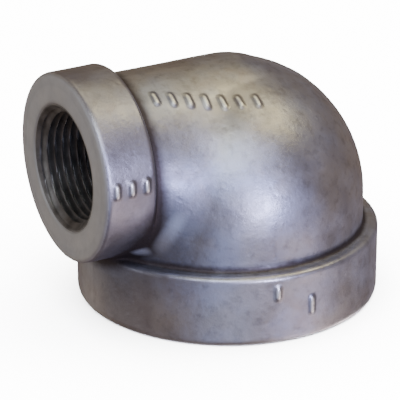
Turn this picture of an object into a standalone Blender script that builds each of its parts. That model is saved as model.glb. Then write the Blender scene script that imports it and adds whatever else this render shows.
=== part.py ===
"""A 90-degree reducing elbow in malleable iron for threaded pipe: 2 inch socket below, 1 inch socket at the side.

The real elbow is one casting. It is modelled as its named regions: the hollow body, a reinforcing band round
each socket, the tapped thread in each socket, and each raised mark. Neighbouring regions stay a hair's breadth
apart. The large socket's face stands on z = 0, the small socket points along -X, and the front is -Y.
"""

import math

import bmesh
import bpy
from mathutils import Matrix, Vector

MM = 0.001
SEAM = 0.3 * MM  # the gap between neighbouring regions
OVERSHOOT = 1.0 * MM  # how far a cutter runs past what it cuts

# Driving dimensions: the two bands and the two centre-to-face lengths.
LARGE_BAND_R = 41.65 * MM
LARGE_BAND_WIDTH = 19.8 * MM
SMALL_BAND_R = 26.0 * MM
SMALL_BAND_WIDTH = 15.2 * MM
SMALL_AXIS_Z = 44.4 * MM  # large face to the small socket's axis
SMALL_FACE_REACH = 50.3 * MM  # the large socket's axis to the small face
BAND_EDGE_R = 1.3 * MM

# The body: a dome over the large socket, and a barrel for the small one.
DOME_R = 37.5 * MM
DOME_CENTRE_Z = 28.2 * MM
BARREL_R = 22.7 * MM
DOME_WALL = 6.6 * MM
BARREL_WALL = 6.2 * MM

# Taper pipe threads: 11.5 threads to the inch, taper 1 in 16 on the diameter, radii at the face.
PITCH = 25.4 / 11.5 * MM
TAPER = 1 / 32
THREAD_DEPTH = 0.8 * PITCH
LARGE_THREAD_R = 30.08 * MM
LARGE_THREAD_LENGTH = 25.4 * MM
SMALL_THREAD_R = 16.62 * MM
SMALL_THREAD_LENGTH = 19.0 * MM
THREAD_BACKING = 2.2 * MM  # metal outside the thread's root
MOUTH_CHAMFER = 0.9 * MM  # how much wider than the root the mouth opens
FLAT_SHARE = 0.16  # of a pitch, the flat on a crest or in a root

# The middle of the footprint is the origin, so the large socket's axis stands to one side of it.
LARGE_AXIS_X = (SMALL_FACE_REACH - LARGE_BAND_R) / 2
SMALL_FACE_X = LARGE_AXIS_X - SMALL_FACE_REACH

# Raised marks stand in for cast lettering: plain bars, with no letter or number among them.
MARK_RISE = 0.55 * MM
MARK_BEVEL = 0.2 * MM
MARK_GAP = 0.6 * MM  # a flat bar's clearance over the curved face below it
MARK_WIDTH = 2.1 * MM

BODY_MARKS = 7
BODY_MARK_PITCH = 4.5 * MM
BODY_MARK_HEIGHT = 5.0 * MM
BODY_ROW_END = -1.2 * MM  # the last bar, along X from the large socket's axis
BODY_ROW_LEAN = 50.0  # degrees forward from upright at the last bar
BODY_ROW_TURN = 20.0  # how much less the first bar leans

SMALL_BAND_MARKS = 3
SMALL_BAND_MARK_PITCH = 4.4 * MM
SMALL_BAND_MARK_HEIGHT = 4.8 * MM
SMALL_BAND_MARK_RISE = 4.5  # degrees up the band from its frontmost line

# Angle round the large socket in degrees, height of the bar's middle and height of the bar.
LARGE_BAND_MARKS = ((-100.0, 14.8 * MM, 4.6 * MM), (-86.0, 9.6 * MM, 6.0 * MM))

# Facets round each turned shape, and points along each rounded profile.
DOME_STEPS = 64
BARREL_STEPS = 48
WATERWAY_STEPS = 40
LARGE_THREAD_STEPS = 36
SMALL_THREAD_STEPS = 28
DOME_ARC_POINTS = 17
BARREL_ARC_POINTS = 11
EDGE_ARC_POINTS = 4
SHARP_ANGLE = math.radians(35)
MERGE = 0.002 * MM

IRON = ((0.22, 0.21, 0.21), 0.42, 0.85)
CUT_IRON = ((0.16, 0.155, 0.15), 0.5, 0.9)


def clear_scene():
    for obj in list(bpy.data.objects):
        bpy.data.objects.remove(obj)


def material(name, look):
    made = bpy.data.materials.new(name)
    made.use_nodes = True
    shader = made.node_tree.nodes["Principled BSDF"]
    colour, roughness, metallic = look
    shader.inputs["Base Color"].default_value = (*colour, 1.0)
    shader.inputs["Roughness"].default_value = roughness
    shader.inputs["Metallic"].default_value = metallic
    return made


def add_object(name, bm, look):
    """Turns a bmesh into an object of its own, closed and facing out."""
    bmesh.ops.recalc_face_normals(bm, faces=bm.faces)
    mesh = bpy.data.meshes.new(name)
    bm.to_mesh(mesh)
    bm.free()
    mesh.shade_smooth()
    mesh.set_sharp_from_angle(angle=SHARP_ANGLE)
    obj = bpy.data.objects.new(name, mesh)
    bpy.context.scene.collection.objects.link(obj)
    if look:
        mesh.materials.append(look)
    return obj


def as_cutter(obj):
    obj.hide_render = True
    obj.display_type = "WIRE"
    return obj


def boolean(obj, other, operation):
    modifier = obj.modifiers.new(operation.lower(), "BOOLEAN")
    modifier.operation = operation
    modifier.solver = "EXACT"
    modifier.object = other


def arc(centre, radius, start, end, points):
    """Points (radius, height) along an arc; angles in degrees, 0 pointing away from the axis of turning."""
    angles = [math.radians(start + (end - start) * i / (points - 1)) for i in range(points)]
    return [(centre[0] + radius * math.cos(a), centre[1] + radius * math.sin(a)) for a in angles]


def turned(name, profile, steps, look, place, closed_loop=False):
    """Spins a profile of (radius, height) about Z. An open profile starts and ends on the axis."""
    bm = bmesh.new()
    verts = [bm.verts.new((radius, 0.0, height)) for radius, height in profile]
    pairs = list(zip(verts, verts[1:]))
    if closed_loop:
        pairs.append((verts[-1], verts[0]))
    edges = [bm.edges.new(pair) for pair in pairs]
    bmesh.ops.spin(bm, geom=verts + edges, cent=(0, 0, 0), axis=(0, 0, 1), angle=2 * math.pi, steps=steps,
                   use_merge=True, use_duplicate=False)
    bmesh.ops.remove_doubles(bm, verts=bm.verts, dist=MERGE)
    bmesh.ops.transform(bm, matrix=place, verts=bm.verts)
    return add_object(name, bm, look)


def at_large_socket():
    """Local Z runs up the large socket's axis from its face."""
    return Matrix.Translation((LARGE_AXIS_X, 0, 0))


def at_small_socket():
    """Local Z runs into the small socket along +X from its face, and local X points up."""
    turn = Matrix(((0, 0, 1, 0), (0, -1, 0, 0), (1, 0, 0, 0), (0, 0, 0, 1)))
    return Matrix.Translation((SMALL_FACE_X, 0, SMALL_AXIS_Z)) @ turn


def dome(name, grow, foot, look):
    """The dome with its skirt, grown or shrunk by an amount."""
    radius = DOME_R + grow
    profile = [(0.0, foot), (radius, foot), *arc((0.0, DOME_CENTRE_Z), radius, 0, 90, DOME_ARC_POINTS)]
    profile[-1] = (0.0, DOME_CENTRE_Z + radius)
    return turned(name, profile, DOME_STEPS, look, at_large_socket())


def barrel(name, radius, start, steps):
    """A round bar from near the small face to the large axis, with a round inner end, as a cutter."""
    profile = [(0.0, start), (radius, start), *arc((0.0, SMALL_FACE_REACH), radius, 0, 90, BARREL_ARC_POINTS)]
    profile[-1] = (0.0, SMALL_FACE_REACH + radius)
    return as_cutter(turned(name, profile, steps, None, at_small_socket()))


def socket_bore(name, radius, depth, steps, place):
    """The straight seat that a thread sits in, as a cutter."""
    profile = [(0.0, -OVERSHOOT), (radius, -OVERSHOOT), (radius, depth), (0.0, depth)]
    return as_cutter(turned(name, profile, steps, None, place))


def backing_radius(thread_r):
    return thread_r + THREAD_BACKING


def elbow_body(iron):
    """Dome and barrel joined, then hollowed from both ends."""
    body = dome("elbow_body", 0.0, 0.0, iron)
    boolean(body, barrel("barrel_outside", BARREL_R, 0.0, BARREL_STEPS), "UNION")
    boolean(body, as_cutter(dome("dome_inside", -DOME_WALL, 2 * OVERSHOOT, None)), "DIFFERENCE")
    waterway = barrel("barrel_inside", BARREL_R - BARREL_WALL, 2 * OVERSHOOT, WATERWAY_STEPS)
    boolean(body, waterway, "DIFFERENCE")
    large_bore = socket_bore("large_bore", backing_radius(LARGE_THREAD_R) + SEAM, LARGE_THREAD_LENGTH + SEAM,
                             DOME_STEPS, at_large_socket())
    small_bore = socket_bore("small_bore", backing_radius(SMALL_THREAD_R) + SEAM, SMALL_THREAD_LENGTH + SEAM,
                             BARREL_STEPS, at_small_socket())
    boolean(body, large_bore, "DIFFERENCE")
    boolean(body, small_bore, "DIFFERENCE")
    return body


def band(name, inner, outer, width, steps, iron, place):
    """A reinforcing band with rounded outer edges."""
    edge = BAND_EDGE_R
    profile = [(inner, 0.0), *arc((outer - edge, edge), edge, -90, 0, EDGE_ARC_POINTS)]
    profile += [*arc((outer - edge, width - edge), edge, 0, 90, EDGE_ARC_POINTS), (inner, width)]
    return turned(name, profile, steps, iron, place, closed_loop=True)


def bands(iron):
    band("large_end_band", DOME_R + SEAM, LARGE_BAND_R, LARGE_BAND_WIDTH, DOME_STEPS, iron, at_large_socket())
    small = band("small_end_band", BARREL_R + SEAM, SMALL_BAND_R, SMALL_BAND_WIDTH, BARREL_STEPS, iron,
                 at_small_socket())
    # Below, the small band runs into the large band and the body's skirt.
    corner = LARGE_BAND_R + SEAM
    top = LARGE_BAND_WIDTH + SEAM
    clearance = [(0.0, -OVERSHOOT), (corner, -OVERSHOOT), (corner, top), (0.0, top)]
    band_room = as_cutter(turned("large_band_room", clearance, DOME_STEPS, None, at_large_socket()))
    boolean(small, band_room, "DIFFERENCE")
    boolean(small, as_cutter(dome("dome_room", SEAM, -OVERSHOOT, None)), "DIFFERENCE")


def thread_radius(depth, turn, root_r):
    """The internal thread's surface at a depth from the face, for a fraction of a turn."""
    phase = (depth / PITCH - turn) % 1.0
    slope = (1.0 - 2 * FLAT_SHARE) / 2
    if phase < FLAT_SHARE:
        rise = 0.0
    elif phase < FLAT_SHARE + slope:
        rise = (phase - FLAT_SHARE) / slope
    elif phase < 2 * FLAT_SHARE + slope:
        rise = 1.0
    else:
        rise = (1.0 - phase) / slope
    cut = root_r - TAPER * depth - rise * THREAD_DEPTH
    mouth = root_r + MOUTH_CHAMFER - depth
    return max(cut, mouth)


def thread(name, root_r, length, steps, iron, place):
    """A sleeve whose bore is a helical taper thread. Rows follow the helix, trimmed at both end planes."""
    slope = (1.0 - 2 * FLAT_SHARE) / 2
    corners = [0.0, FLAT_SHARE, FLAT_SHARE + slope, 2 * FLAT_SHARE + slope]
    turns = math.ceil(length / PITCH) + 1
    rows = [whole - 1 + corner for whole in range(turns + 1) for corner in corners]
    outer = backing_radius(root_r)
    bm = bmesh.new()
    columns = []
    for step in range(steps):
        turn = step / steps
        angle = 2 * math.pi * turn
        across = Vector((math.cos(angle), math.sin(angle), 0))
        depths = [min(max((row + turn) * PITCH, 0.0), length) for row in rows]
        column = [across * thread_radius(depth, turn, root_r) + Vector((0, 0, depth)) for depth in depths]
        column += [across * outer + Vector((0, 0, length)), across * outer]
        columns.append([bm.verts.new(point) for point in column])
    for step, here in enumerate(columns):
        # The last column meets the first one turn on, so its rows are matched one pitch apart.
        shift = len(corners) if step == steps - 1 else 0
        beyond = columns[(step + 1) % steps]
        bore_rows = len(rows)
        for row in range(bore_rows - 1):
            low = min(row + shift, bore_rows - 1)
            high = min(row + 1 + shift, bore_rows - 1)
            add_face(bm, here[row], here[row + 1], beyond[high], beyond[low])
        if shift:
            for row in range(shift):
                add_face(bm, here[0], beyond[row], beyond[row + 1])
        add_face(bm, here[bore_rows - 1], here[bore_rows], beyond[bore_rows], beyond[bore_rows - 1])
        add_face(bm, here[bore_rows], here[bore_rows + 1], beyond[bore_rows + 1], beyond[bore_rows])
        add_face(bm, here[bore_rows + 1], here[0], beyond[0], beyond[bore_rows + 1])
    bmesh.ops.remove_doubles(bm, verts=bm.verts, dist=MERGE)
    bmesh.ops.triangulate(bm, faces=bm.faces)
    bmesh.ops.transform(bm, matrix=place, verts=bm.verts)
    return add_object(name, bm, iron)


def add_face(bm, *corners):
    """A face of the corners that stand apart, or none where they fold into a line."""
    apart = []
    for corner in corners:
        if all((corner.co - other.co).length > MERGE for other in apart):
            apart.append(corner)
    if len(apart) > 2:
        bm.faces.new(apart)


def mark(name, point, outward, along, height, iron):
    """One raised bar, square to its row: a block with bevelled edges, a little clear of the curved face."""
    along = (along - outward * along.dot(outward)).normalized()
    turn = Matrix((along, outward.cross(along), outward)).transposed().to_4x4()
    bm = bmesh.new()
    bmesh.ops.create_cube(bm, size=1.0, matrix=Matrix.Diagonal((MARK_WIDTH, height, MARK_RISE, 1)))
    bmesh.ops.bevel(bm, geom=bm.edges, offset=MARK_BEVEL, segments=1, affect="EDGES")
    middle = point + outward * (MARK_GAP + MARK_RISE / 2)
    bmesh.ops.transform(bm, matrix=Matrix.Translation(middle) @ turn, verts=bm.verts)
    return add_object(name, bm, iron)


def body_marks(iron):
    """A row of bars along the top front of the body, leaning further forward as it runs onto the dome."""
    dome_centre = Vector((LARGE_AXIS_X, 0, DOME_CENTRE_Z))
    last = BODY_MARKS - 1
    for index in range(BODY_MARKS):
        along = BODY_ROW_END - (last - index) * BODY_MARK_PITCH
        lean = math.radians(BODY_ROW_LEAN - BODY_ROW_TURN * (last - index) / last)
        outward = Vector((0, -math.sin(lean), math.cos(lean)))
        point = Vector((LARGE_AXIS_X + along, 0, SMALL_AXIS_Z)) + outward * BARREL_R
        if (point - dome_centre).length < DOME_R:
            outward = (point - dome_centre).normalized()
            point = dome_centre + outward * DOME_R
        mark(f"body_mark_{index + 1}", point, outward, Vector((1, 0, 0)), BODY_MARK_HEIGHT, iron)


def small_band_marks(iron):
    """Bars side by side on the front of the small band."""
    rise = math.radians(SMALL_BAND_MARK_RISE)
    outward = Vector((0, -math.cos(rise), math.sin(rise)))
    across = Vector((1, 0, 0))
    middle = SMALL_FACE_X + SMALL_BAND_WIDTH / 2
    for index in range(SMALL_BAND_MARKS):
        along = middle + (index - (SMALL_BAND_MARKS - 1) / 2) * SMALL_BAND_MARK_PITCH
        point = Vector((along, 0, SMALL_AXIS_Z)) + outward * SMALL_BAND_R
        mark(f"small_band_mark_{index + 1}", point, outward, across, SMALL_BAND_MARK_HEIGHT, iron)


def large_band_marks(iron):
    """Bars on the front of the large band, at different heights."""
    for index, (degrees, middle, height) in enumerate(LARGE_BAND_MARKS):
        angle = math.radians(degrees)
        outward = Vector((math.cos(angle), math.sin(angle), 0))
        point = Vector((LARGE_AXIS_X, 0, middle)) + outward * LARGE_BAND_R
        across = Vector((0, 0, 1)).cross(outward)
        mark(f"large_band_mark_{index + 1}", point, outward, across, height, iron)


def main():
    clear_scene()
    iron = material("cast_iron", IRON)
    cut_iron = material("cut_iron", CUT_IRON)
    elbow_body(iron)
    bands(iron)
    thread("large_end_thread", LARGE_THREAD_R, LARGE_THREAD_LENGTH, LARGE_THREAD_STEPS, cut_iron,
           at_large_socket())
    thread("small_end_thread", SMALL_THREAD_R, SMALL_THREAD_LENGTH, SMALL_THREAD_STEPS, cut_iron,
           at_small_socket())
    body_marks(iron)
    small_band_marks(iron)
    large_band_marks(iron)


main()
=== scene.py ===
import math

import bpy
import numpy as np
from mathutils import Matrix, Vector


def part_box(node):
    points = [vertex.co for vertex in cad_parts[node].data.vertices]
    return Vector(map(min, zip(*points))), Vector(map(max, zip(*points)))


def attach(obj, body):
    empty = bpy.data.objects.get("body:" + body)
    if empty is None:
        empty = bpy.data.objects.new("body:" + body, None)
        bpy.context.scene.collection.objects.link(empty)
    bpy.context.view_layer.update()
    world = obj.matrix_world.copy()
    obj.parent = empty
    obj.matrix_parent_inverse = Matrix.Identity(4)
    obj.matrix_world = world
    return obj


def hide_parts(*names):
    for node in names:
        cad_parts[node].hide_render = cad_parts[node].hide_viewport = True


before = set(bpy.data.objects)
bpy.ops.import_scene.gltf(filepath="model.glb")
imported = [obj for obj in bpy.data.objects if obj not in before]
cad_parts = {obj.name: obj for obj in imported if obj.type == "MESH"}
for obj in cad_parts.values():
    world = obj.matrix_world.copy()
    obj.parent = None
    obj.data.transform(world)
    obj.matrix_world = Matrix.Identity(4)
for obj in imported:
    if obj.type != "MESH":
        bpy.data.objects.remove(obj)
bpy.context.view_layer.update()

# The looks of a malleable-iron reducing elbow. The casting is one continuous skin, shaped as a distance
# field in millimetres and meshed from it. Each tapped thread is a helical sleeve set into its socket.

import openvdb
from mathutils import Matrix, Vector

MM = 0.001


def box_mm(node):
    low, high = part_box(node)
    return np.array(low) / MM, np.array(high) / MM


# Sizes that the frame gives, in millimetres.
LARGE_LOW, LARGE_HIGH = box_mm("large_end_band")
SMALL_LOW, SMALL_HIGH = box_mm("small_end_band")
BODY_LOW, BODY_HIGH = box_mm("elbow_body")
LARGE_X = (LARGE_LOW[0] + LARGE_HIGH[0]) / 2
LARGE_BAND_R = (LARGE_HIGH[0] - LARGE_LOW[0]) / 2
LARGE_BAND_TOP = LARGE_HIGH[2]
SMALL_X = SMALL_LOW[0]
SMALL_BAND_R = (SMALL_HIGH[1] - SMALL_LOW[1]) / 2
SMALL_BAND_END = SMALL_HIGH[0]
SMALL_Z = SMALL_HIGH[2] - SMALL_BAND_R
DOME_R = (BODY_HIGH[1] - BODY_LOW[1]) / 2
BARREL_R = BODY_HIGH[2] - SMALL_Z

# The rest of the casting, in millimetres.
DOME_CENTRE_Z = 28.2
DOME_WALL = 6.6
BARREL_WALL = 6.2
EDGE_R = 1.3  # rounding of the bands' edges
SHOULDER_BLEND = 13.0  # reach of the soft blend between dome and barrel
BLEND_ONSET = 0.5  # one minus the cosine of the angle at which the blend has its full reach
LEAST_REACH = 0.05
HOLLOW_WIDTH = 30.0  # how far the painted shade in the corner between dome and barrel spreads
HOLLOW_ONSET = 0.12  # one minus the cosine of the angle at which that shade starts
CREASE_BLEND = 1.5  # reach of the tight fillet beside each band
LARGE_CREASE_WIDTH = 3.0  # how far the painted shade beside each band spreads
SMALL_CREASE_WIDTH = 5.7
CREASE_FADE = 1.6  # the painted shade fades this much faster across the band than across the body
WATERWAY_BLEND = 6.0
FACE_BLEND = 1.9  # rounding where a band meets its end face
MOUTH_BLEND = 0.5
PARTING_RISE = 0.06  # the faint ridge that the mould's joint leaves
PARTING_WIDTH = 0.9
MARK_RISE = 0.6
MARK_DRAFT = 1.2  # width of a mark's rounded side
# Two pale streaks in the corner under the small band, low ridges with a painted reflection: their ends, and
# how wide they are.
PALE_STREAKS = (((-29.0, -20.5, 23.5), (-23.5, -27.0, 37.5), 3.4),
        ((-34.0, -15.5, 23.0), (-29.5, -20.0, 24.5), 2.2))
PALE_STREAK_RISE = 0.12
# The cast skin's unevenness: wavelength and height, and how far from an end face it takes to set in.
SKIN_WAVES = ((14.0, 0.12), (5.5, 0.03), (2.2, 0.012))
SKIN_FADE = 1.5
GRID_STEP = 0.45
GRID_MARGIN = 2.0
PROJECTION_STEPS = 4
LEAST_SQUARE_SLOPE = 0.05  # keeps the projection steady where the field is nearly flat

# Taper pipe threads: 11.5 to the inch, 1 in 16 on the diameter.
PITCH = 25.4 / 11.5
TAPER = 1 / 32
THREAD_DEPTH = 0.78 * PITCH
THREAD_FLAT = 0.07  # of a pitch, on a crest and in a root
LARGE_ROOT_R = 30.08
SMALL_ROOT_R = 16.62
LARGE_THREAD_LENGTH = box_mm("large_end_thread")[1][2]
SMALL_THREAD_LENGTH = box_mm("small_end_thread")[1][0] - SMALL_X
MOUTH_CHAMFER = 0.9
CUT_DEPTH = 1.4  # how far in from an end face the turned, brighter iron reaches
FACING = 0.5  # a normal counts as facing an end when it leans at least this much to it
SEAT_GAP = 0.35  # how far a thread's root stays inside the plain bore that holds it
SLEEVE_EMBED = 0.4  # how far a thread sleeve's outer wall is buried in the casting
SLEEVE_START = 0.45  # where a sleeve begins, from the end face
SLEEVE_END_GAP = 0.05
SLEEVE_ROWS = 12  # to a pitch
LARGE_SLEEVE_SIDES = 120
SMALL_SLEEVE_SIDES = 96
SHARP_ANGLE = math.radians(50)


# ---- shapes as distance fields, in millimetres, negative inside ----

def smooth_min(a, b, reach):
    share = np.clip(0.5 + 0.5 * (b - a) / reach, 0.0, 1.0)
    return b + (a - b) * share - reach * share * (1.0 - share)


def smooth_max(a, b, reach):
    return -smooth_min(-a, -b, reach)


def smooth_step(low, high, value):
    share = np.clip((value - low) / (high - low), 0.0, 1.0)
    return share * share * (3.0 - 2.0 * share)


def dome_and_barrel(x, y, z, dome_r, barrel_r, reach):
    """The dome and the barrel, and a mask for painted shade that is 1 in the deep corner between them.

    They blend softly where they meet at an angle, and not at all where they run together."""
    rise = np.maximum(z - DOME_CENTRE_Z, 0.0)
    past = np.maximum(x - LARGE_X, 0.0)
    from_dome = np.sqrt((x - LARGE_X) ** 2 + y * y + rise * rise) + 1e-6
    from_barrel = np.sqrt(y * y + (z - SMALL_Z) ** 2 + past * past) + 1e-6
    same_way = ((x - LARGE_X) * past + y * y + rise * (z - SMALL_Z)) / (from_dome * from_barrel)
    reach = reach * smooth_step(0.0, BLEND_ONSET, 1.0 - same_way) + LEAST_REACH
    near_both = smooth_step(HOLLOW_WIDTH, 0.0, np.abs(from_dome - dome_r) + np.abs(from_barrel - barrel_r))
    hollow = near_both * smooth_step(HOLLOW_ONSET, BLEND_ONSET, 1.0 - same_way)
    return smooth_min(from_dome - dome_r, from_barrel - barrel_r, reach), hollow


def band_field(radial, height, radius, top):
    """A disc with a rounded top edge that runs on below its end face."""
    across = radial - radius + EDGE_R
    above = height - top + EDGE_R
    outside = np.sqrt(np.maximum(across, 0.0) ** 2 + np.maximum(above, 0.0) ** 2)
    return outside + np.minimum(np.maximum(across, above), 0.0) - EDGE_R


def socket_void(radial, depth, root_r, length):
    """The plain bore that holds a thread, and the cone that opens its mouth."""
    bore = np.maximum(radial - root_r - SEAT_GAP, depth - length)
    cone = (radial - root_r - SEAT_GAP - MOUTH_CHAMFER + np.abs(depth)) * math.sqrt(0.5)
    return np.minimum(bore, cone)


def outside_of_casting(x, y, z):
    """The solid outer shape, with masks for the painted shade in the creases beside the bands and in the
    deep corner.
    """
    large_radial = np.sqrt((x - LARGE_X) ** 2 + y * y)
    small_radial = np.sqrt(y * y + (z - SMALL_Z) ** 2)
    shell, hollow = dome_and_barrel(x, y, z, DOME_R, BARREL_R, SHOULDER_BLEND)
    crease = np.zeros_like(shell)
    large_band = band_field(large_radial, z, LARGE_BAND_R, LARGE_BAND_TOP)
    small_band = band_field(small_radial, x - SMALL_X, SMALL_BAND_R, SMALL_BAND_END - SMALL_X)
    for band, width in ((large_band, LARGE_CREASE_WIDTH), (small_band, SMALL_CREASE_WIDTH)):
        crease = np.maximum(crease, smooth_step(width, 0.0, CREASE_FADE * np.abs(shell) + np.abs(band)))
        shell = smooth_min(shell, band, CREASE_BLEND)
    shell = smooth_max(shell, SMALL_X - x, FACE_BLEND)
    return smooth_max(shell, -z, FACE_BLEND), crease, hollow


def inside_of_casting(x, y, z):
    """The waterway and both sockets."""
    large_radial = np.sqrt((x - LARGE_X) ** 2 + y * y)
    small_radial = np.sqrt(y * y + (z - SMALL_Z) ** 2)
    waterway = dome_and_barrel(x, y, z, DOME_R - DOME_WALL, BARREL_R - BARREL_WALL, WATERWAY_BLEND)[0]
    waterway = np.maximum(waterway, np.maximum(LARGE_THREAD_LENGTH - z, SMALL_X + SMALL_THREAD_LENGTH - x))
    void = np.minimum(waterway, socket_void(large_radial, z, LARGE_ROOT_R, LARGE_THREAD_LENGTH))
    return np.minimum(void, socket_void(small_radial, x - SMALL_X, SMALL_ROOT_R, SMALL_THREAD_LENGTH))


def raised_marks():
    """(middle, along, upward, half width, half height) of each plain bar, read from the frame's own bars."""
    bars = []
    for name, obj in sorted(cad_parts.items()):
        if "_mark_" not in name:
            continue
        corners = np.array([v.co for v in obj.data.vertices], float) / MM
        middle = (corners.min(0) + corners.max(0)) / 2
        axes = np.linalg.svd(corners - corners.mean(0), full_matrices=False)[2]
        spans = np.ptp((corners - middle) @ axes.T, axis=0)
        bars.append((middle, axes[1], axes[0], spans[1] / 2, spans[0] / 2))
    return bars


MARKS = raised_marks()


def mark_height(points):
    """How far the marks raise the skin at each point."""
    height = np.zeros(len(points), np.float32)
    for middle, along, upward, half_width, half_height in MARKS:
        reach = half_width + half_height + MARK_DRAFT
        near = np.flatnonzero((np.abs(points - middle) < reach).all(axis=1))
        offset = points[near] - middle
        across = np.abs(offset @ along) - half_width
        above = np.abs(offset @ upward) - half_height
        edge = smooth_max(across, above, MARK_DRAFT)
        height[near] = np.maximum(height[near], MARK_RISE * smooth_step(MARK_DRAFT / 3, -MARK_DRAFT, edge))
    return height


def pale_streak_mask(points):
    """A mask that is 1 in the middle of each pale streak, and fades to its sides and ends."""
    mask = np.zeros(len(points))
    for start, end, width in PALE_STREAKS:
        start, run = np.array(start), np.array(end) - np.array(start)
        share = np.clip((points - start) @ run / (run @ run), 0.0, 1.0)
        away = np.linalg.norm(points - start - share[:, None] * run, axis=1)
        mask = np.maximum(mask, smooth_step(width, 0.0, away) * (1 - (2 * share - 1) ** 2))
    return mask


def casting_field(points):
    x, y, z = points.T
    outer = outside_of_casting(x, y, z)[0]
    parting = PARTING_RISE * np.exp(-((y / PARTING_WIDTH) ** 2))
    outer = outer - mark_height(points) - parting - PALE_STREAK_RISE * pale_streak_mask(points)
    outer = smooth_max(outer, SMALL_X - x, MOUTH_BLEND)
    outer = smooth_max(outer, -z, MOUTH_BLEND)
    return smooth_max(outer, -inside_of_casting(x, y, z), MOUTH_BLEND)


def slopes(points):
    """The casting field's gradient at each point."""
    step = 0.02
    gradient = np.empty_like(points)
    for axis in range(3):
        shift = np.zeros(3)
        shift[axis] = step
        gradient[:, axis] = (casting_field(points + shift) - casting_field(points - shift)) / (2 * step)
    return gradient


def wave_noise(points, wavelength, seed):
    """Smooth noise between -1 and 1, from a seeded lattice of random values."""
    size = 32
    lattice = np.random.default_rng(seed).uniform(-1, 1, (size, size, size))
    where = points / wavelength
    cell = np.floor(where).astype(int)
    share = where - cell
    share = share * share * (3 - 2 * share)
    total = np.zeros(len(points))
    for corner in np.ndindex(2, 2, 2):
        weight = np.prod(np.where(np.array(corner), share, 1 - share), axis=1)
        total += weight * lattice[tuple(((cell + corner) % size).T)]
    return total


def mesh_object(name, points_mm, faces):
    mesh = bpy.data.meshes.new(name)
    mesh.vertices.add(len(points_mm))
    mesh.vertices.foreach_set("co", (points_mm * MM).astype(np.float32).ravel())
    sides = faces.shape[1]
    mesh.loops.add(faces.size)
    mesh.loops.foreach_set("vertex_index", faces.astype(np.int32).ravel())
    mesh.polygons.add(len(faces))
    mesh.polygons.foreach_set("loop_start", np.arange(0, faces.size, sides, dtype=np.int32))
    mesh.update(calc_edges=True)
    mesh.validate()
    mesh.shade_smooth()
    obj = bpy.data.objects.new(name, mesh)
    bpy.context.scene.collection.objects.link(obj)
    return obj


def store(obj, name, values):
    attribute = obj.data.attributes.new(name, "FLOAT", "POINT")
    attribute.data.foreach_set("value", values.astype(np.float32))


def casting():
    """The whole cast skin, outside and inside, as one mesh."""
    low = np.array([SMALL_X, LARGE_LOW[1], 0.0])
    high = np.array([LARGE_HIGH[0], LARGE_HIGH[1], SMALL_HIGH[2]])
    low, high = low - GRID_MARGIN, high + GRID_MARGIN
    axes = [np.arange(a, b, GRID_STEP) for a, b in zip(low, high)]
    field = np.empty([len(a) for a in axes], np.float32)
    across, up = np.meshgrid(axes[1], axes[2], indexing="ij")
    for index, along in enumerate(axes[0]):
        slab = np.column_stack([np.full(across.size, along), across.ravel(), up.ravel()])
        field[index] = casting_field(slab).reshape(across.shape)
    grid = openvdb.FloatGrid(float(field.max()))
    grid.copyFromArray(field)
    points, faces = grid.convertToQuads(isovalue=0.0)
    points = low + np.asarray(points, float) * GRID_STEP
    faces = np.asarray(faces)
    for _ in range(PROJECTION_STEPS):
        gradient = slopes(points)
        square = np.maximum((gradient ** 2).sum(axis=1, keepdims=True), LEAST_SQUARE_SLOPE)
        move = casting_field(points)[:, None] * gradient / square
        points -= np.clip(move, -GRID_STEP / 2, GRID_STEP / 2)
    gradient = slopes(points)
    normals = gradient / np.linalg.norm(gradient, axis=1, keepdims=True)
    x, y, z = points.T
    _, crease, hollow = outside_of_casting(x, y, z)
    raised = mark_height(points) / MARK_RISE
    inner = smooth_step(1.2, 0.2, np.abs(inside_of_casting(x, y, z)))
    inwards = x - SMALL_X
    cut = np.maximum(smooth_step(CUT_DEPTH, CUT_DEPTH / 2, z) * (normals[:, 2] < -FACING),
                     smooth_step(CUT_DEPTH, CUT_DEPTH / 2, inwards) * (normals[:, 0] < -FACING))
    small_band = (smooth_step(0.5, -1.0, x - SMALL_BAND_END)
                  * smooth_step(1.0, 2.0, np.hypot(y, z - SMALL_Z) - BARREL_R))
    skin = sum(height * wave_noise(points, wave, seed) for seed, (wave, height) in enumerate(SKIN_WAVES))
    skin *= (1 - cut) * smooth_step(0.0, SKIN_FADE, np.minimum(z, inwards))
    points = points + normals * skin[:, None]
    # The faces are turned to face out.
    a, b, c = (points[faces[:, i]] for i in range(3))
    if np.einsum("ij,ij->", np.cross(b - a, c - a), normals[faces[:, 0]]) < 0:
        faces = faces[:, ::-1]
    obj = mesh_object("elbow_casting", points, faces)
    store(obj, "crease", crease)
    store(obj, "hollow", hollow)
    store(obj, "raised", raised)
    store(obj, "pale_streak_mask", pale_streak_mask(points))
    store(obj, "small_band", small_band)
    store(obj, "inner", inner)
    store(obj, "cut", cut)
    return obj


# ---- threads ----

def thread_surface_radius(depth, turn, root_r):
    phase = (depth / PITCH - turn) % 1.0
    flank = 0.5 - THREAD_FLAT
    rise = 1 - np.clip((np.abs(phase - 0.5) - THREAD_FLAT / 2) / flank, 0, 1)
    cut = root_r - TAPER * depth - rise * THREAD_DEPTH
    return np.maximum(cut, root_r + MOUTH_CHAMFER - depth)


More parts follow.
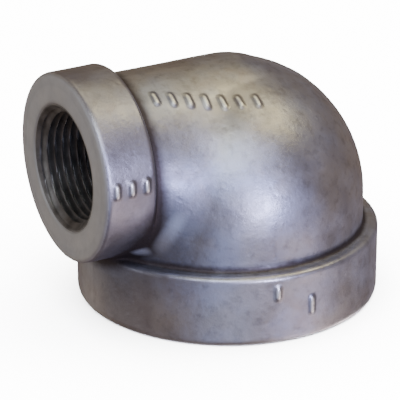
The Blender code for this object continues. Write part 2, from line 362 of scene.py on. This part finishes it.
def socket_thread(name, root_r, length, place, around):
    """A sleeve: the helical thread inside, and a plain outer wall that is buried in the casting."""
    rows = int((length - SLEEVE_START) / PITCH * SLEEVE_ROWS)
    depth = np.linspace(SLEEVE_START, length - SLEEVE_END_GAP, rows + 1)
    turn = np.arange(around) / around
    depths, turns = np.meshgrid(depth, turn, indexing="ij")
    radius = thread_surface_radius(depths, turns, root_r)
    radius = np.vstack([radius, np.full((2, around), root_r + SEAT_GAP + SLEEVE_EMBED)])
    depths = np.vstack([depths, depths[-1:], depths[:1]])
    turns = np.vstack([turns, turns[:2]])
    angle = 2 * math.pi * turns
    points = np.stack([radius * np.cos(angle), radius * np.sin(angle), depths], axis=-1).reshape(-1, 3)
    ring = np.arange(around)
    nearby = (ring + 1) % around
    faces = []
    for row in range(len(depths)):
        here = row * around
        beyond = (row + 1) % len(depths) * around
        faces.append(np.column_stack([here + ring, here + nearby, beyond + nearby, beyond + ring]))
    place = np.array(place)
    obj = mesh_object(name, points @ place[:3, :3].T + place[:3, 3], np.vstack(faces))
    obj.data.set_sharp_from_angle(angle=SHARP_ANGLE)
    return obj


LARGE_PLACE = Matrix.Translation((LARGE_X, 0, 0))
SMALL_PLACE = Matrix.Translation((SMALL_X, 0, SMALL_Z)) @ Matrix(
    ((0, 0, 1, 0), (0, -1, 0, 0), (1, 0, 0, 0), (0, 0, 0, 1)))


# ---- materials ----

class Nodes:
    """A short way to write a material's node tree."""

    def __init__(self, name):
        self.material = bpy.data.materials.new(name)
        self.material.use_nodes = True
        self.tree = self.material.node_tree
        self.shader = self.tree.nodes["Principled BSDF"]
        self.position = self.add("ShaderNodeTexCoord").outputs["Object"]

    def add(self, kind, **settings):
        node = self.tree.nodes.new(kind)
        for key, value in settings.items():
            setattr(node, key, value)
        return node

    def feed(self, socket, value):
        if isinstance(value, bpy.types.NodeSocket):
            self.tree.links.new(value, socket)
        else:
            socket.default_value = value

    def noise(self, scale, detail=3.0, roughness=0.55, distortion=0.0):
        node = self.add("ShaderNodeTexNoise")
        self.feed(node.inputs["Vector"], self.position)
        self.feed(node.inputs["Scale"], scale)
        self.feed(node.inputs["Detail"], detail)
        self.feed(node.inputs["Roughness"], roughness)
        self.feed(node.inputs["Distortion"], distortion)
        return node.outputs["Fac"]

    def cells(self, scale):
        node = self.add("ShaderNodeTexVoronoi", feature="F1")
        self.feed(node.inputs["Vector"], self.position)
        self.feed(node.inputs["Scale"], scale)
        return node.outputs["Distance"]

    def attribute(self, name):
        return self.add("ShaderNodeAttribute", attribute_name=name).outputs["Fac"]

    def remap(self, value, low, high, out_low=0.0, out_high=1.0):
        node = self.add("ShaderNodeMapRange", clamp=True)
        for socket, given in zip(node.inputs, (value, low, high, out_low, out_high)):
            self.feed(socket, given)
        return node.outputs["Result"]

    def math(self, operation, a, b):
        node = self.add("ShaderNodeMath", operation=operation)
        self.feed(node.inputs[0], a)
        self.feed(node.inputs[1], b)
        return node.outputs[0]

    def mix(self, factor, a, b):
        node = self.add("ShaderNodeMix", data_type="RGBA")
        self.feed(node.inputs["Factor"], factor)
        # A mix node's colours are its sockets 6 and 7, and its mixed colour is output 2.
        for socket, value in ((node.inputs[6], a), (node.inputs[7], b)):
            self.feed(socket, value if isinstance(value, bpy.types.NodeSocket) else (*value, 1.0))
        return node.outputs[2]

    def bump(self, height, distance, strength, normal=None):
        node = self.add("ShaderNodeBump")
        self.feed(node.inputs["Height"], height)
        self.feed(node.inputs["Distance"], distance)
        self.feed(node.inputs["Strength"], strength)
        if normal is not None:
            self.feed(node.inputs["Normal"], normal)
        return node.outputs["Normal"]

    def finish(self, colour, roughness, metallic, normal):
        self.feed(self.shader.inputs["Base Color"], colour)
        self.feed(self.shader.inputs["Roughness"], roughness)
        self.feed(self.shader.inputs["Metallic"], metallic)
        self.feed(self.shader.inputs["Normal"], normal)
        return self.material


def cast_iron():
    """Tumbled, lightly oiled cast skin: mottled grey with brown and blue casts and fine grain; painted shade
    in the creases and in the deep corner, a painted shadow on each mark's sides, worn mark tops with a
    painted highlight, and a painted reflection along two streaks.
    """
    n = Nodes("cast_iron_skin")
    warm = (0.46, 0.43, 0.41)
    cool = (0.42, 0.43, 0.52)
    brown = (0.36, 0.29, 0.25)
    dark = (0.10, 0.09, 0.09)
    darker_band_tone = (0.27, 0.235, 0.245)
    shade = (0.10, 0.115, 0.17)
    painted_crease_shade = (0.05, 0.038, 0.038)
    painted_streak_reflection = (0.48, 0.51, 0.60)
    painted_mark_shadow = (0.09, 0.08, 0.07)
    mark_top_wear_and_highlight = (0.76, 0.74, 0.68)
    dark_inside = (0.05, 0.047, 0.045)
    colour = n.mix(n.remap(n.noise(42.0, 4.0), 0.40, 0.62), warm, cool)
    colour = n.mix(n.remap(n.noise(75.0, 5.0, 0.6, 0.4), 0.55, 0.72, 0.0, 0.55), colour, brown)
    colour = n.mix(n.remap(n.noise(420.0, 3.0, 0.6), 0.50, 0.75, 0.0, 0.35), colour, dark)
    colour = n.mix(n.remap(n.noise(160.0, 3.0), 0.35, 0.68, 0.18, 0.0), colour, dark)
    # The small band is mixed towards a darker mauve grey.
    colour = n.mix(n.math("MULTIPLY", n.attribute("small_band"), 0.45), colour, darker_band_tone)
    # Painted shade in the deep corner between dome and barrel.
    colour = n.mix(n.remap(n.attribute("hollow"), 0.0, 0.8, 0.0, 0.65), colour, shade)
    # Painted shade in the creases beside the bands, with a ragged edge.
    ragged = n.remap(n.noise(300.0, 3.0), 0.3, 0.7, -0.08, 0.08)
    crease = n.math("ADD", n.attribute("crease"), ragged)
    colour = n.mix(n.remap(crease, 0.08, 0.72, 0.0, 0.95), colour, painted_crease_shade)
    # Painted reflection along two pale streaks in the corner under the small band.
    colour = n.mix(n.remap(n.attribute("pale_streak_mask"), 0.05, 0.8, 0.0, 0.75), colour, painted_streak_reflection)
    raised = n.attribute("raised")
    # Painted shadow on the sloping sides of each mark.
    rim = n.math("MULTIPLY", n.remap(raised, 0.0, 0.05), n.remap(raised, 0.75, 0.55))
    colour = n.mix(n.math("MULTIPLY", rim, 0.35), colour, painted_mark_shadow)
    # The marks' tops are worn bright and also carry a painted highlight.
    colour = n.mix(n.remap(raised, 0.45, 0.75, 0.0, 0.9), colour, mark_top_wear_and_highlight)
    # The waterway and the bores are mixed towards near black.
    colour = n.mix(n.math("MULTIPLY", n.attribute("inner"), 0.85), colour, dark_inside)
    cut = n.attribute("cut")
    turned = n.mix(n.noise(260.0), (0.44, 0.43, 0.42), (0.56, 0.55, 0.54))
    colour = n.mix(n.math("MULTIPLY", cut, 0.9), colour, turned)
    roughness = n.remap(n.noise(120.0, 4.0), 0.3, 0.7, 0.32, 0.46)
    roughness = n.math("ADD", roughness, n.math("MULTIPLY", cut, 0.16))
    roughness = n.math("ADD", roughness, n.math("MULTIPLY", crease, 0.2))
    grain = n.math("ADD", n.noise(900.0, 4.0, 0.65), n.math("MULTIPLY", n.noise(260.0, 3.0), 0.8))
    normal = n.bump(grain, 0.00016, 0.35)
    pits = n.remap(n.cells(330.0), 0.0, 0.28)
    normal = n.bump(pits, 0.00010, 0.35, normal)
    return n.finish(colour, roughness, 0.9, normal)


def cut_iron():
    """Tapped thread, dark with cutting oil."""
    n = Nodes("tapped_iron")
    colour = n.mix(n.remap(n.noise(180.0, 4.0), 0.35, 0.7), (0.24, 0.23, 0.22), (0.10, 0.095, 0.09))
    roughness = n.remap(n.noise(400.0), 0.3, 0.7, 0.38, 0.55)
    normal = n.bump(n.noise(1400.0, 3.0), 0.00008, 0.4)
    return n.finish(colour, roughness, 0.9, normal)


# ---- the pieces ----

body = casting()
body.data.materials.append(cast_iron())
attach(body, "root")
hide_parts("elbow_body", "large_end_band", "small_end_band",
            *[name for name in sorted(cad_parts) if "_mark_" in name])

tapped = cut_iron()
for name, root_r, length, place, around, node in (
        ("large_socket_thread", LARGE_ROOT_R, LARGE_THREAD_LENGTH, LARGE_PLACE, LARGE_SLEEVE_SIDES,
         "large_end_thread"),
        ("small_socket_thread", SMALL_ROOT_R, SMALL_THREAD_LENGTH, SMALL_PLACE, SMALL_SLEEVE_SIDES,
         "small_end_thread")):
    thread = socket_thread(name, root_r, length, place, around)
    thread.data.materials.append(tapped)
    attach(thread, "root")
    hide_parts(node)


# ---- floor, light and camera ----

VIEW_AZIMUTH = math.radians(-28.6)
VIEW_ELEVATION = math.radians(23.2)
BAND_R = LARGE_BAND_R * MM
VIEW_DISTANCE = 20 * BAND_R
LENS = 268.2
AIM_LEFT = 0.18 * BAND_R  # the point looked at, from the middle of the large socket's face
AIM_UP = 0.55 * BAND_R
LIGHT_DISTANCE = 0.8
FLOOR_HALF = 3.0

back = Vector((math.sin(VIEW_AZIMUTH) * math.cos(VIEW_ELEVATION),
               -math.cos(VIEW_AZIMUTH) * math.cos(VIEW_ELEVATION),
               math.sin(VIEW_ELEVATION)))
right = Vector((math.cos(VIEW_AZIMUTH), math.sin(VIEW_AZIMUTH), 0.0))
up = back.cross(right)
target = Vector((LARGE_X * MM, 0.0, 0.0)) - right * AIM_LEFT + up * AIM_UP


def add_camera():
    data = bpy.data.cameras.new("camera")
    data.lens = LENS
    data.sensor_width = 36.0
    data.clip_end = 20.0
    camera = bpy.data.objects.new("camera", data)
    camera.matrix_world = Matrix.Translation(target + back * VIEW_DISTANCE) @ Matrix(
        (right, up, back)).transposed().to_4x4()
    bpy.context.scene.collection.objects.link(camera)
    bpy.context.scene.camera = camera


def add_soft_light(name, direction, power, colour, size=0.5, length=None, roll=0.0):
    """A round or oval soft light, aimed at the object from a direction across, up and towards the camera.

    An oval one's length lies level, turned by the roll in degrees."""
    across, above, towards = direction
    way = (right * across + up * above + back * towards).normalized()
    data = bpy.data.lights.new(name, "AREA")
    data.shape = "ELLIPSE"
    data.size = length or size
    data.size_y = size
    data.energy = power
    data.color = colour
    light = bpy.data.objects.new(name, data)
    light.location = target + way * LIGHT_DISTANCE
    turn = Matrix.Rotation(math.radians(roll), 3, "Z")
    light.rotation_euler = (way.to_track_quat("Z", "Y").to_matrix() @ turn).to_euler()
    light.visible_camera = False
    bpy.context.scene.collection.objects.link(light)


def add_world():
    """White behind the object, and a dim, slightly warm room around it for everything else."""
    world = bpy.data.worlds.new("studio")
    world.use_nodes = True
    tree = world.node_tree
    tree.nodes.clear()
    output = tree.nodes.new("ShaderNodeOutputWorld")
    mix = tree.nodes.new("ShaderNodeMixShader")
    room = tree.nodes.new("ShaderNodeBackground")
    room.inputs["Color"].default_value = (0.21, 0.16, 0.13, 1.0)
    room.inputs["Strength"].default_value = 1.0
    backdrop = tree.nodes.new("ShaderNodeBackground")
    backdrop.inputs["Color"].default_value = (1.0, 1.0, 1.0, 1.0)
    backdrop.inputs["Strength"].default_value = 16.0
    path = tree.nodes.new("ShaderNodeLightPath")
    tree.links.new(path.outputs["Is Camera Ray"], mix.inputs["Fac"])
    tree.links.new(room.outputs[0], mix.inputs[1])
    tree.links.new(backdrop.outputs[0], mix.inputs[2])
    tree.links.new(mix.outputs[0], output.inputs["Surface"])
    bpy.context.scene.world = world


def add_floor():
    corners = [(across * FLOOR_HALF, along * FLOOR_HALF, 0)
               for across, along in ((-1, -1), (1, -1), (1, 1), (-1, 1))]
    mesh = bpy.data.meshes.new("floor")
    mesh.from_pydata(corners, [], [(0, 1, 2, 3)])
    floor = bpy.data.objects.new("floor", mesh)
    bpy.context.scene.collection.objects.link(floor)
    material = bpy.data.materials.new("pale_floor")
    material.use_nodes = True
    shader = material.node_tree.nodes["Principled BSDF"]
    shader.inputs["Base Color"].default_value = (0.9, 0.9, 0.9, 1.0)
    shader.inputs["Roughness"].default_value = 0.9
    mesh.materials.append(material)
    floor.visible_diffuse = False
    floor.visible_glossy = False
    floor.visible_shadow = False
    return floor


def light_floor(floor):
    """An even light from overhead that falls on the floor alone, so that the floor stays white."""
    data = bpy.data.lights.new("floor_light", "SUN")
    data.energy = 50.0
    data.angle = math.radians(100)
    light = bpy.data.objects.new("floor_light", data)
    bpy.context.scene.collection.objects.link(light)
    only = bpy.data.collections.new("floor_only")
    only.objects.link(floor)
    light.light_linking.receiver_collection = only


add_camera()
add_world()
light_floor(add_floor())
add_soft_light("key", (0.0, 0.5, 0.85), 2.0, (0.92, 1.0, 0.75))
add_soft_light("streak", (0.05, 0.2, 1.0), 3.4, (0.56, 0.64, 1.0), size=0.3, length=0.95, roll=-33)
add_soft_light("hot_spot", (0.5, -0.25, 0.85), 5.2, (0.58, 0.62, 1.0), size=0.2)
add_soft_light("middle_right", (0.35, 0.45, 0.8), 0.7, (0.85, 0.80, 1.0), size=0.35)
add_soft_light("ceiling", (0.5, 0.8, 0.3), 1.4, (1.0, 0.92, 0.55), size=0.35)
add_soft_light("overhead", (0.0, 1.0, 0.1), 0.9, (1.0, 0.95, 0.58))
add_soft_light("low_front", (0.0, -0.7, 0.7), 0.7, (0.45, 0.60, 1.0))
add_soft_light("low_right", (0.7, -0.7, 0.1), 1.3, (1.0, 0.86, 0.94))
add_soft_light("left", (-1.0, 0.0, 0.2), 0.9, (0.80, 0.90, 1.0))
add_soft_light("behind_left", (-0.75, -0.15, -0.6), 0.3, (1.0, 0.95, 0.85))
add_soft_light("behind_right", (0.5, -0.6, -0.6), 3.0, (1.0, 0.92, 0.96))
